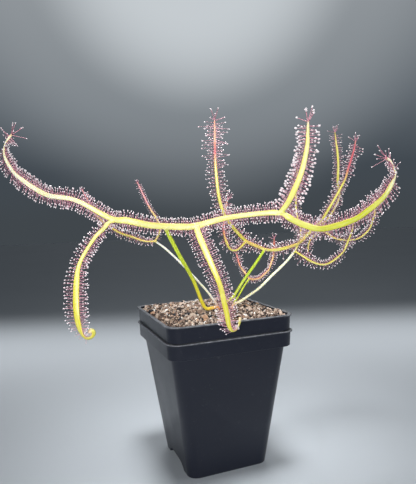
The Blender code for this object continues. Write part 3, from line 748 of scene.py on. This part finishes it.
# Leaves: sizes in millimetres, with the knots of the solids. Two arms of leaf_a have widths that differ
# from the solids' by up to 0.6.
# angle: where the stem stands on the ring around the crown.
# blush_run: how far the colour of a tip runs down its strap.
# ends: "both" or "end" for the ends that run out in a tip, or "curl" where the last turn is nearly bare.
# spacing, bead, reach: distance between tentacles, radius of the dew and length of the tentacles.
# long_share: the share of the outermost tentacles that grow far past the rest.
Strap = namedtuple("Strap", "knots widths ends spacing bead reach long_share", defaults=(0.0,))
Leaf = namedtuple("Leaf", "angle blush_run stem radii straps")
LEAVES = {
    "leaf_a": Leaf(200, 4.0, [
        (3, -5, 107.2), (-2, -6.3, 107), (-7.5, -8, 109.2), (-19, -19, 130), (-32, -33, 147),
        (-41, -42, 160), (-45, -47, 166)],
        (1.15, 1.25, 1.3, 1.3), [
        Strap([
            (-126, 0, 225), (-130, 3, 220), (-131, 2, 213), (-128, -2, 205), (-123, -8, 198),
            (-109, -22, 187), (-94, -34, 183), (-76, -43, 172), (-67, -45, 170.4), (-55, -46, 167.5),
            (-45, -47, 166.4), (-37, -51, 165.8), (-29, -55, 166), (-13, -61, 170), (5, -69, 172),
            (17, -73, 172), (23, -78, 167.5), (29, -83, 164), (37, -87, 162.3), (54, -91, 166.5),
            (64, -92, 171.7), (75, -92, 178.8), (82, -91, 185.8), (86, -91, 192.5), (84, -91, 198.4),
            (81, -92, 201.2), (78, -92.4, 202.2)],
            (1.5, 2.5, 3.0, 3.4, 2.6, 3.3, 4.3, 4.2, 4.2, 3.2, 3.1, 4.0, 4.1, 3.9, 3.7, 3.4, 1.6), "both",
            spacing=1.7, bead=0.46, reach=(4.8, 5.2, 4.8, 4.0, 3.6, 3.8, 4.4, 5.2, 5.6, 5.2)),
        Strap([
            (-72.5, -43.4, 171.2), (-77, -43.5, 169.8), (-80, -44, 166.5), (-86, -46, 161), (-95, -51, 148),
            (-97.7, -54, 135), (-98.3, -56, 122), (-97.2, -56.4, 114.1), (-95.9, -56.9, 110.3),
            (-93.9, -57.6, 108.2), (-91.7, -58.5, 108.6), (-90.2, -59, 110.1), (-90.1, -59.2, 111.9),
            (-91.2, -59.2, 113), (-92.5, -59.1, 112.7), (-92.8, -59.1, 111.5)],
            (3.0, 2.5, 1.9, 2.2, 3.3, 3.6, 3.4, 3.1, 2.2), "curl",
            spacing=2.0, bead=0.46, reach=(2.8, 4.0, 4.9, 4.8)),
        Strap([
            (-29, -55, 166.5), (-28.4, -59, 160), (-26.6, -62, 153), (-22.6, -65, 141), (-19.4, -66, 132),
            (-16.2, -63, 123), (-13.5, -61, 114), (-11.5, -59, 106.3), (-9, -58, 102.4), (-6, -57, 102.6),
            (-4, -57, 105.5), (-3, -57, 110)],
            (3.6, 4.0, 3.8, 3.5, 3.1, 3.3, 3.3, 3.0, 2.5, 1.8), "curl",
            spacing=1.7, bead=0.4, reach=(5.0, 4.8, 4.6)),
        Strap([
            (16.5, -72.8, 171.5), (21, -74, 177), (25, -74.5, 183.5), (28.8, -74, 190), (32.5, -73, 197),
            (35.3, -72, 204), (37.2, -72, 212), (37.7, -72, 219), (37.4, -73, 226)],
            (3.2, 3.5, 3.7, 3.6, 3.5, 3.3, 3.0, 2.1, 1.2), "end",
            spacing=2.4, bead=0.78, reach=(5.5, 5.2, 4.8)),
    ]),
    "leaf_b": Leaf(127, 14.0, [
        (6, 2.6, 108), (-3, 1, 120), (-20, 1, 139), (-31, 1, 150), (-39, 0, 156)],
        (0.85, 0.8, 0.75, 0.75), [
        Strap([
            (-38, -0.5, 156), (-45, 1, 156), (-53, 3, 159), (-61, 4, 162), (-67, 5, 166), (-75, 7, 173),
            (-80, 10, 182), (-84, 14, 192)],
            (1.4, 1.7, 1.7, 1.4, 0.9), "end", spacing=2.2, bead=0.42, reach=(2.8, 2.8, 1.4)),
        Strap([
            (-39, 0, 155.5), (-36, -1, 161), (-35, 0, 166), (-37, 2, 172), (-41, 5, 180), (-47, 11, 197)],
            (1.4, 1.3, 1.2, 0.9), "end", spacing=1.7, bead=0.2, reach=(1.9, 1.4)),
    ]),
    "leaf_c": Leaf(74, 16.0, [
        (14, 3.2, 108), (19, 0.7, 112.5), (26.2, -1.5, 123.5), (37.4, -2, 137), (45, -1, 146)],
        (1.0, 1.1, 1.1, 1.05), [
        Strap([
            (8, 0, 240), (7, -2, 232), (6, -4, 220), (6, -4, 208), (7.5, -4, 188), (11, -3, 175),
            (15, -3, 168), (21, -2, 161), (29, -2, 153), (35, -2, 150), (45, -1, 146), (52, -2, 145),
            (59, -3, 145.7), (67, -3, 147.3), (75, -3, 150), (88, -1, 160), (96, -1, 166), (106, -1, 179),
            (111, -1, 186), (119, -1, 198), (122, -1, 206), (128, -1, 221), (130, -1, 229)],
            (1.1, 1.9, 2.3, 2.4, 2.6, 2.8, 2.6, 2.2, 2.0, 1.7, 1.1), "both",
            spacing=2.7, bead=0.56, reach=(5.2, 4.6, 3.6, 3.4, 3.2, 3.2, 3.4), long_share=0.34),
        Strap([
            (30, -2, 153.5), (24, -2, 148), (20, -1, 146.2), (17, 1, 148), (16, 3, 152), (16, 7, 157),
            (17, 10, 164), (20, 14, 175), (23, 15, 184)],
            (1.8, 2.0, 1.9, 1.7, 1.1), "end", spacing=2.5, bead=0.5, reach=(4.0, 4.0), long_share=0.1),
    ]),
    "leaf_d": Leaf(-5, 9.0, [
        (18, -2, 108), (23, 0.5, 112.5), (27, 2, 117), (30.5, 3, 121), (34, 4, 124)],
        (0.75, 0.75, 0.75, 0.75), [
        Strap([
            (28, 13, 143), (29, 12, 138), (30, 11, 133), (32, 8, 129), (34, 4.4, 124.4), (38, 4, 123.3),
            (43, 5, 123.7), (49, 8, 126), (54, 10, 129), (57, 12, 133), (60, 13, 139), (61.5, 14, 145),
            (61, 13, 153)],
            (1.1, 1.4, 1.6, 1.8, 1.8, 1.7, 1.6, 1.1), "both", spacing=2.2, bead=0.4, reach=(2.6, 2.6)),
    ]),
    "leaf_e": Leaf(-60, 6.0, [
        (15.5, -6.6, 108), (22, -4.5, 109.3), (33, 1, 112.7), (42, 4, 116.3), (57, 9, 125), (69, 11, 133),
        (78, 10, 142)],
        (0.9, 1.0, 1.0, 0.95), [
        Strap([
            (77, 9.8, 141), (81, 11.3, 146), (85, 13, 151), (91, 14, 155), (104, 15, 161), (112, 15, 165.5),
            (119, 16, 173), (123.5, 16, 179.5), (127, 17, 187), (127, 19, 194), (128, 20, 203),
            (130, 22, 212), (131, 24, 223), (131, 26, 233), (131, 27, 241)],
            (1.8, 2.1, 2.1, 2.0, 2.0, 2.1, 2.0, 1.1), "end",
            spacing=2.4, bead=0.38, reach=(4.2, 3.8, 3.6), long_share=0.05),
        Strap([
            (102.4, 14.4, 160.6), (110, 14, 156), (117, 12, 151), (124, 9, 149), (132, 5, 149),
            (137, 1, 152), (141, -3, 158), (142, -5, 164), (142, -8, 170), (141, -9, 176), (139, -11, 182)],
            (1.6, 1.7, 1.7, 1.7, 1.5, 1.1), "end",
            spacing=2.7, bead=0.5, reach=(3.6, 4.4, 4.4), long_share=0.05),
        Strap([
            (106.5, 14.6, 159.5), (106, 18, 156), (104, 22, 153), (102, 25, 149), (101, 26, 144),
            (100, 25, 139)],
            (1.5, 1.6, 1.5, 1.1), "end", spacing=2.3, bead=0.44, reach=(3.4, 3.0)),
        Strap([
            (84.6, 12.8, 150), (87, 15, 158), (87, 18, 165), (87, 21, 173), (88, 23, 183), (89, 24, 193),
            (90, 24, 201), (90, 23, 209)],
            (1.5, 1.6, 1.5, 1.4, 1.0), "end", spacing=2.4, bead=0.38, reach=(3.6, 3.4)),
        Strap([
            (77.5, 10.2, 142.5), (81, 9, 140), (85, 7, 137), (90, 5, 133.5), (96, 3, 131), (101, 1, 131),
            (106, 0, 133), (112, -1, 137), (116, -2, 141), (118, -3, 146), (121, -3, 152), (123, -4, 158),
            (123, -5, 163)],
            (1.6, 1.8, 1.8, 1.8, 1.6, 1.1), "end",
            spacing=2.7, bead=0.5, reach=(4.4, 4.4, 3.6), long_share=0.05),
    ]),
}


def stem_knots(leaf):
    """The upright start of a stem on the ring around the crown, and then its own knots."""
    a = radians(leaf.angle)
    x, y = CROWN[0] + CROWN_RING * cos(a), CROWN[1] + CROWN_RING * sin(a)
    return [(x, y, z) for z in (STEM_FOOT_Z, STEM_TURN_Z, STEM_TOP_Z)] + leaf.stem


def strap_samples(leaf):
    """Samples of every strap and the stem: place, side, hairy side, half width, length from the tip, stem."""
    rows = []
    for strap in leaf.straps:
        line, _, face, side, total = strap_frames(strap.knots, STRAP_STEP)
        half = 0.5 * widths_along(strap.widths, len(line))
        along = np.linspace(0.0, total, len(line))
        from_tip = total - along
        if strap.ends == "both":
            from_tip = np.minimum(from_tip, along)
        rows.append((line, side, face, half, from_tip, np.zeros(len(line))))
    stem, _ = smooth_curve(stem_knots(leaf), STRAP_STEP)
    up = np.linspace(0.0, 1.0, len(stem))
    flat = np.zeros((len(stem), 3))
    rows.append((stem, flat, flat, np.full(len(stem), 1.2), np.full(len(stem), 60.0), 1.0 - up * 0.98))
    return [np.concatenate(column) for column in zip(*rows)]


def fuse(blade):
    """Makes one soft skin of the straps and the stem."""
    remesh = blade.modifiers.new("fuse", "REMESH")
    remesh.mode = "VOXEL"
    remesh.voxel_size = VOXEL * MM
    soften = blade.modifiers.new("soften", "SMOOTH")
    soften.factor = 0.5
    soften.iterations = 3
    thin = blade.modifiers.new("thin", "DECIMATE")
    thin.ratio = 0.45
    applied(blade)
    shade_smooth(blade)


def mark_blade(blade, leaf):
    """Writes on each point how near it is to a tip, a margin, the hairy side and the stem's foot."""
    line, side, face, half, from_tip, stem = strap_samples(leaf)
    tree = KDTree(len(line))
    for i, p in enumerate(line):
        tree.insert(p, i)
    tree.balance()
    spots = np.empty(len(blade.data.vertices) * 3)
    blade.data.vertices.foreach_get("co", spots)
    spots = spots.reshape(-1, 3) / MM
    near = np.array([tree.find(p)[1] for p in spots])
    gap = spots - line[near]
    edge = np.abs((gap * side[near]).sum(1)) / half[near]
    hairy = (gap * face[near]).sum(1)
    values = {
        "tip": np.exp(-from_tip[near] / leaf.blush_run),
        "edge": np.clip(edge, 0, 1),
        "hairy": np.clip(hairy * 2.0 + 0.5, 0, 1),
        "stem": stem[near],
    }
    for key, value in values.items():
        data = blade.data.attributes.new(key, "FLOAT", "POINT")
        data.data.foreach_set("value", value.astype(np.float32))


def build_blade(name, leaf, material):
    parts = [stem_mesh(stem_knots(leaf), leaf.radii)]
    parts += [strap_mesh(strap.knots, strap.widths) for strap in leaf.straps]
    blade = add_mesh(name, *join_parts(parts), [material])
    fuse(blade)
    blade.data.materials.clear()
    blade.data.materials.append(material)
    mark_blade(blade, leaf)
    return blade


# Rows of tentacles across a strap: place from margin to margin, share of the reach, share of the spacing.
ROWS = (
    (-1.0, 1.0, 1.0), (-0.9, 0.76, 1.0), (-0.62, 0.54, 0.9), (-0.25, 0.42, 0.9),
    (0.25, 0.42, 0.9), (0.62, 0.54, 0.9), (0.9, 0.76, 1.0), (1.0, 1.0, 1.0),
)
# Bare lengths in millimetres, and how far the outermost tentacles lean in degrees.
FOOT_BARE = 2.5
TIP_BARE = 2.0
TIP_RUN = 14.0
CURL_BARE = 10.0
CURL_END_BARE = 3.0
MARGIN_LEAN = 94.0
TIP_FAN = 7
FAN_SPREADS = (0.3, 1.2, 0.7, 2.2)
FAN_GIRTH = 1.6
# Stalk sections: share of the length and thickness.
STALK_SECTIONS = ((0.0, 0.20), (0.35, 0.125), (0.75, 0.095), (1.0, 0.11))
STALK_SIDES = 3
STALK_BOW = 0.4
# Sides around and rows up a ball of dew and a gland.
DEW_SHAPE = (7, 5)
GLAND_SHAPE = (4, 3)


def row_tentacles(strap, frames, gen):
    """Foot, way, length, sway, bead radius and girth of the tentacles in the rows along a strap."""
    line, tangent, face, side, total = frames
    half = 0.5 * widths_along(strap.widths, len(line))
    reaches = widths_along(strap.reach, len(line))
    plan = []
    for row, (place, share, gap) in enumerate(ROWS):
        count = int(total / (strap.spacing * gap))
        for n in range(count):
            s = (n + 0.5 * (row % 2) + gen.uniform(0.10, 0.40)) / count
            from_start = s * total
            from_end = total - from_start
            if strap.ends != "both" and from_start < FOOT_BARE:
                continue
            i = min(int(s * (len(line) - 1)), len(line) - 2)
            size = reaches[i] * share * gen.uniform(0.92, 1.07)
            radius = strap.bead * gen.uniform(0.86, 1.10) * (0.72 + 0.28 * share)
            if strap.ends != "curl":
                tip_near = min(from_end, from_start if strap.ends == "both" else total)
                if tip_near < TIP_BARE:
                    continue
                size *= 1.0 + 0.35 * max(0.0, 1.0 - tip_near / TIP_RUN)
            elif from_end < CURL_BARE:
                if abs(place) > 0.7 or from_end < CURL_END_BARE:
                    continue
                size *= 0.4
                radius *= 0.6
            if abs(place) > 0.8 and gen.random() < strap.long_share:
                size *= gen.uniform(1.4, 1.9)
            q = max(-1.0, min(1.0, place + gen.normal(0.0, 0.03)))
            lean = place * radians(MARGIN_LEAN) + gen.normal(0.0, 0.07)
            way = face[i] * cos(lean) + side[i] * sin(lean) + tangent[i] * gen.normal(0.0, 0.08)
            foot = line[i] + side[i] * (q * half[i] * 0.85) + face[i] * (0.35 * (1.0 - q * q))
            plan.append((foot, unit(way), size, tangent[i] * gen.normal(0.0, 0.16), radius, 1.0))
    return plan


def fan_tentacles(strap, frames, gen):
    """The same for the fan of long, stout tentacles at each tip."""
    line, tangent, face, side, _ = frames
    tips = [] if strap.ends == "curl" else [(line[-1], tangent[-1], face[-1], side[-1], strap.reach[-1])]
    if strap.ends == "both":
        tips.append((line[0], -tangent[0], face[0], side[0], strap.reach[0]))
    plan = []
    for p, ahead, f, s, reach in tips:
        for j in range(TIP_FAN):
            a = 2.0 * pi * (j + gen.uniform(-0.2, 0.2)) / TIP_FAN
            spread = FAN_SPREADS[j % len(FAN_SPREADS)] * gen.uniform(0.85, 1.15)
            way = unit(ahead + (s * cos(a) + f * sin(a)) * spread)
            size = reach * gen.uniform(1.45, 1.95)
            sway = ahead * gen.normal(0, 0.10)
            plan.append((p - ahead * 0.6, way, size, sway, strap.bead * 0.95, FAN_GIRTH))
    return plan


def tentacle_plan(leaf, gen):
    plan = []
    for strap in leaf.straps:
        frames = strap_frames(strap.knots, 0.5)
        plan += row_tentacles(strap, frames, gen)
        plan += fan_tentacles(strap, frames, gen)
    return plan


def ball(sides, rows):
    """Points and triangles of a ball of radius 1."""
    pts = [(0.0, 0.0, -1.0)]
    for i in range(1, rows):
        a = pi * i / rows
        for j in range(sides):
            b = 2.0 * pi * (j + 0.5 * (i % 2)) / sides
            pts.append((sin(a) * cos(b), sin(a) * sin(b), -cos(a)))
    pts.append((0.0, 0.0, 1.0))
    faces = []
    last = 1 + (rows - 2) * sides
    for j in range(sides):
        k = (j + 1) % sides
        faces.append((0, 1 + k, 1 + j))
        faces.append((len(pts) - 1, last + j, last + k))
    for a, b, c, d in bands(rows - 1, sides):
        faces.append((1 + a, 1 + b, 1 + c))
        faces.append((1 + a, 1 + c, 1 + d))
    return np.array(pts), np.array(faces)


def side_axes(way):
    """Two directions at right angles to each way and to each other."""
    helper = np.where(np.abs(way[:, 2:3]) < 0.8, np.array([[0.0, 0.0, 1.0]]), np.array([[1.0, 0.0, 0.0]]))
    a = unit(np.cross(helper, way))
    return a, np.cross(way, a)


def repeat_faces(faces, points, count):
    """The faces of one piece, written out for count pieces with so many points each."""
    firsts = np.arange(count) * points
    return (faces[None] + firsts[:, None, None]).reshape(-1, faces.shape[1])


def build_stalks(name, foot, way, size, sway, bead, girth, material):
    a, b = side_axes(way)
    turns = [2.0 * pi * j / STALK_SIDES for j in range(STALK_SIDES)]
    rings = []
    for share, thick in STALK_SECTIONS:
        radius = thick * (0.55 + bead) * girth
        centre = foot + way * (size * share) + sway * (share ** 2) * size * STALK_BOW
        rings += [centre + a * (radius * cos(t)) + b * (radius * sin(t)) for t in turns]
    points = np.stack(rings, 1).reshape(-1, 3)
    quads = np.array(bands(len(STALK_SECTIONS), STALK_SIDES))
    return add_mesh(name, points, repeat_faces(quads, len(rings), len(foot)), [material])


def build_balls(name, shape, centre, lean, wide, tall, material):
    """A ball on every centre, stretched along its lean."""
    a, b = side_axes(lean)
    pts, tris = ball(*shape)
    points = (centre[:, None] + a[:, None] * (pts[None, :, 0:1] * wide[:, None])
              + b[:, None] * (pts[None, :, 1:2] * wide[:, None])
              + lean[:, None] * (pts[None, :, 2:3] * tall[:, None]))
    return add_mesh(name, points.reshape(-1, 3), repeat_faces(tris, len(pts), len(centre)), [material])


def build_tentacles(name, leaf, gen, materials):
    """Stalks, the dew on their ends and the red gland inside each drop."""
    foot, way, size, sway, bead, girth = (np.array(column) for column in zip(*tentacle_plan(leaf, gen)))
    size, bead, girth = size[:, None], bead[:, None], girth[:, None]
    # The second material is the dew, near-white as a painted glint.
    pink, clear, red = materials
    stalks = build_stalks(name + "_stalks", foot, way, size, sway, bead, girth, pink)
    lean = unit(way + sway * 0.8)
    centre = foot + way * size + sway * size * STALK_BOW + lean * bead * 0.4
    dew = build_balls(name + "_dew", DEW_SHAPE, centre, lean, bead, bead * 1.1, clear)
    glands = build_balls(name + "_glands", GLAND_SHAPE, centre, lean, bead * 0.42, bead * 0.62, red)
    return stalks, dew, glands


# Leaf colours: body, a paler middle that is a painted highlight, blush and its share, margin, tip and where
# it starts to show, upper stem, lower stem and foot of the stem; then the tints that only one leaf has.
Skin = namedtuple("Skin", "body pale blush blush_share margin tip tip_from stem low foot"
                  " lime olive cream end", defaults=(None, None, None, None))
SKINS = {
    "leaf_a": Skin(
        (0.80, 0.79, 0.16), (0.96, 0.94, 0.66), (0.88, 0.80, 0.25), 0.6, (0.70, 0.46, 0.20),
        (0.92, 0.72, 0.55), 0.35, (0.60, 0.74, 0.02), (0.80, 0.66, 0.02), (0.72, 0.24, 0.08),
        lime=(0.60, 0.65, 0.01), olive=(0.70, 0.65, 0.02), cream=(0.97, 0.94, 0.78)),
    "leaf_b": Skin(
        (0.72, 0.56, 0.08), (0.84, 0.74, 0.26), (0.66, 0.25, 0.20), 0.9, (0.62, 0.22, 0.22),
        (0.76, 0.34, 0.36), 0.12, (0.95, 0.94, 0.82), (0.93, 0.90, 0.72), (0.60, 0.24, 0.12)),
    "leaf_c": Skin(
        (0.76, 0.70, 0.06), (0.90, 0.84, 0.30), (0.80, 0.42, 0.16), 0.7, (0.72, 0.30, 0.24),
        (0.70, 0.12, 0.17), 0.09, (0.50, 0.68, 0.02), (0.60, 0.68, 0.03), (0.58, 0.22, 0.08),
        end=(0.88, 0.56, 0.40)),
    "leaf_d": Skin(
        (0.80, 0.50, 0.18), (0.88, 0.72, 0.42), (0.74, 0.26, 0.16), 0.9, (0.70, 0.24, 0.20),
        (0.72, 0.18, 0.14), 0.2, (0.52, 0.64, 0.02), (0.52, 0.60, 0.02), (0.58, 0.22, 0.08)),
    "leaf_e": Skin(
        (0.74, 0.68, 0.06), (0.90, 0.84, 0.32), (0.82, 0.60, 0.20), 0.7, (0.72, 0.38, 0.22),
        (0.58, 0.48, 0.10), 0.3, (0.93, 0.93, 0.66), (0.90, 0.86, 0.55), (0.60, 0.26, 0.10)),
}
# Colour of the fine pale streaks, a painted highlight on the straps.
STREAK_HIGHLIGHT_TONE = (0.95, 0.92, 0.60)
# Where the tints of the front leaf and the end colour start, in metres.
LIME_RIGHT_OF = 0.012
LIME_UNDER = 0.196
OLIVE_UNDER = 0.160
# Where the painted highlight on the high left bend starts.
BEND_LEFT_OF = -0.078
BEND_OVER = 0.174
TIP_RIGHT_OF = 0.066
TIP_OVER = 0.182
END_LEFT_OF = 0.05


def front_tints(tree, colour, edge, look):
    """Lime and olive along the low right stretch; cream on the high left bend as a painted highlight, and
    cream on the raised right tip.
    """
    at = axes(tree)
    centre = ramp(tree, edge, ((0.05, 0.70), (0.45, 0.98)))
    right = times(tree, past(tree, at["X"], LIME_RIGHT_OF, 60.0), past(tree, LIME_UNDER, at["Z"], 50.0))
    colour = mix(tree, times(tree, right, centre), colour, look.lime)
    low = past(tree, OLIVE_UNDER, at["Z"], 40.0)
    colour = mix(tree, times(tree, low, centre), colour, look.olive)
    # Painted highlight on the high left bend; the raised right tip is cream of its own.
    bend = times(tree, past(tree, BEND_LEFT_OF, at["X"], 40.0), past(tree, at["Z"], BEND_OVER, 150.0))
    tip = times(tree, past(tree, at["X"], TIP_RIGHT_OF, 120.0), past(tree, at["Z"], TIP_OVER, 90.0))
    cream = math_node(tree, "MAXIMUM", bend, tip)
    return mix(tree, times(tree, cream, 0.75), colour, look.cream)


def blade_material(name, look):
    """Yellow lamina with a paler middle and fine pale streaks painted as highlights, blushed margins and
    tips, and a petiole that warms to its foot.
    """
    material, tree, shader = new_material(name)
    streak = noise_node(tree, 900.0, 4.0, 0.6)
    patch = ramp(tree, noise_node(tree, 60.0, 3.0), ((0.35, 0.25), (0.65, 1.0)))
    edge, tip, hairy, stem = (attribute(tree, key) for key in ("edge", "tip", "hairy", "stem"))
    # Painted highlight: the middle of each strap, in noisy patches, is mixed towards the paler colour where
    # light would catch it.
    highlight_middle = times(tree, ramp(tree, edge, ((0.15, 1.0), (0.75, 0.0))), patch)
    colour = mix(tree, highlight_middle, look.body, look.pale)
    if look.lime:
        colour = front_tints(tree, colour, edge, look)
    blushed = ramp(tree, noise_node(tree, 34.0, 3.0), ((0.50, 0.0), (0.66, look.blush_share)))
    colour = mix(tree, blushed, colour, look.blush)
    margin = times(tree, ramp(tree, edge, ((0.72, 0.0), (0.98, 0.75))),
                   ramp(tree, noise_node(tree, 120.0, 3.0), ((0.3, 0.3), (0.6, 1.0))))
    colour = mix(tree, margin, colour, look.margin)
    colour = mix(tree, times(tree, hairy, 0.40), colour, look.margin)
    green = mix(tree, ramp(tree, stem, ((0.40, 0.0), (0.72, 1.0))), look.stem, look.low)
    green = mix(tree, ramp(tree, stem, ((0.78, 0.0), (0.90, 1.0))), green, look.foot)
    colour = mix(tree, ramp(tree, stem, ((0.015, 0.0), (0.05, 1.0))), colour, green)
    near_tip = ramp(tree, tip, ((look.tip_from, 0.0), (look.tip_from * 2.5, 1.0)))
    colour = mix(tree, near_tip, colour, look.tip)
    if look.end:
        left = past(tree, END_LEFT_OF, axes(tree)["X"], 100.0)
        end = ramp(tree, tip, ((0.22, 0.0), (0.38, 0.85)))
        colour = mix(tree, times(tree, end, left), colour, look.end)
    colour = mix(tree, ramp(tree, tip, ((0.65, 0.0), (0.95, 0.6))), colour, look.margin)
    # Painted highlight: fine pale streaks mixed into the colour; the same noise also drives the bump.
    highlight_streaks = times(tree, ramp(tree, streak, ((0.35, 0.0), (0.75, 1.0))), 0.16)
    paint(tree, shader, mix(tree, highlight_streaks, colour, STREAK_HIGHLIGHT_TONE), Roughness=0.32, Subsurface_Weight=0.25,
          Subsurface_Radius=(0.0012, 0.0010, 0.0004), Subsurface_Scale=1.0)
    bump(tree, shader, streak, 0.25, 0.0002)
    return material


STALK_TONES = ((0.35, (0.58, 0.21, 0.29)), (0.65, (0.78, 0.42, 0.49)))
# Pinkish white of the drops: partly their tint, partly a painted glint for the light a clear drop catches.
DEW_TINT_AND_GLINT_TONES = ((0.35, (0.96, 0.82, 0.87)), (0.65, (0.99, 0.94, 0.96)))
GLAND_TONES = ((0.35, (0.50, 0.05, 0.10)), (0.65, (0.68, 0.12, 0.18)))


def tentacle_materials():
    stalk = two_tone("stalk_pink", 180.0, STALK_TONES, Roughness=0.35)
    # Painted glint: the drops get a near-white diffuse colour with little transmission, standing in for the
    # light they catch.
    dew = two_tone("dew_white_glint", 90.0, DEW_TINT_AND_GLINT_TONES, Roughness=0.06, IOR=1.40, Transmission_Weight=0.22)
    gland = two_tone("gland_red", 150.0, GLAND_TONES, Roughness=0.35)
    return stalk, dew, gland


# Crown sections: height and radius in millimetres.
CROWN_SECTIONS = ((90.0, 1.6), (98.0, 2.9), (103.5, 3.5), (105.5, 3.6), (106.8, 3.1), (107.6, 1.9),
                  (107.8, 0.6))
CROWN_SIDES = 24


def build_crown(material):
    """The short knobbly rootstock that the stems rise from."""
    rings = []
    for z, r in CROWN_SECTIONS:
        ring = []
        for j in range(CROWN_SIDES):
            a = 2.0 * pi * j / CROWN_SIDES
            rough = r * (1.0 + 0.07 * sin(3 * a + z) + 0.05 * sin(7 * a - z))
            ring.append((CROWN[0] + rough * cos(a), CROWN[1] + rough * sin(a), z))
        rings.append(ring)
    return add_mesh("crown", *stack_rings(rings), [material])


def build_pots():
    black = pot_material()
    settle(build_pot("outer_pot_shell", 0.0, black), "pot_plastic", "outer_pot")
    settle(build_pot("inner_pot_shell", STACK_RISE, black), "pot_plastic", "inner_pot")


def build_soil():
    # The bed shows only between the grains; its dark brown is partly peat and partly painted shade in the
    # gaps.
    settle(build_soil_bed(grain_material("peat_and_gap_shade", (0.035, 0.02, 0.014), (0.10, 0.06, 0.04), 0.95)),
           "soil_mix", "soil")
    grains = [
        grain_material("grit_tan", (0.40, 0.295, 0.225), (0.68, 0.555, 0.465), 0.85),
        grain_material("grit_brown", (0.15, 0.095, 0.07), (0.35, 0.235, 0.18), 0.9),
        grain_material("grit_cream", (0.78, 0.74, 0.68), (0.95, 0.92, 0.88), 0.7),
        grain_material("peat_black", (0.010, 0.011, 0.014), (0.035, 0.034, 0.038), 0.95),
        grain_material("grit_rust", (0.36, 0.20, 0.12), (0.52, 0.34, 0.22), 0.8),
    ]
    settle(build_grains(grains), "soil_mix")
    settle(build_fibres(grain_material("fibre_tan", (0.42, 0.30, 0.20), (0.66, 0.52, 0.38), 0.8)), "soil_mix")


def build_plant():
    settle(build_crown(grain_material("crown_brown", (0.10, 0.035, 0.02), (0.30, 0.13, 0.05), 0.6)),
           "root_brown", "rootstock")
    materials = tentacle_materials()
    gen = np.random.default_rng(5)
    for name, leaf in LEAVES.items():
        blade = build_blade(name + "_blade", leaf, blade_material(name + "_skin", SKINS[name]))
        settle(blade, name + "_green", name)
        for piece in build_tentacles(name, leaf, gen, materials):
            settle(piece, name + "_green")


bpy.context.scene.view_settings.view_transform = "Standard"
set_camera()
set_floor()
set_lights()
build_pots()
build_soil()
build_plant()
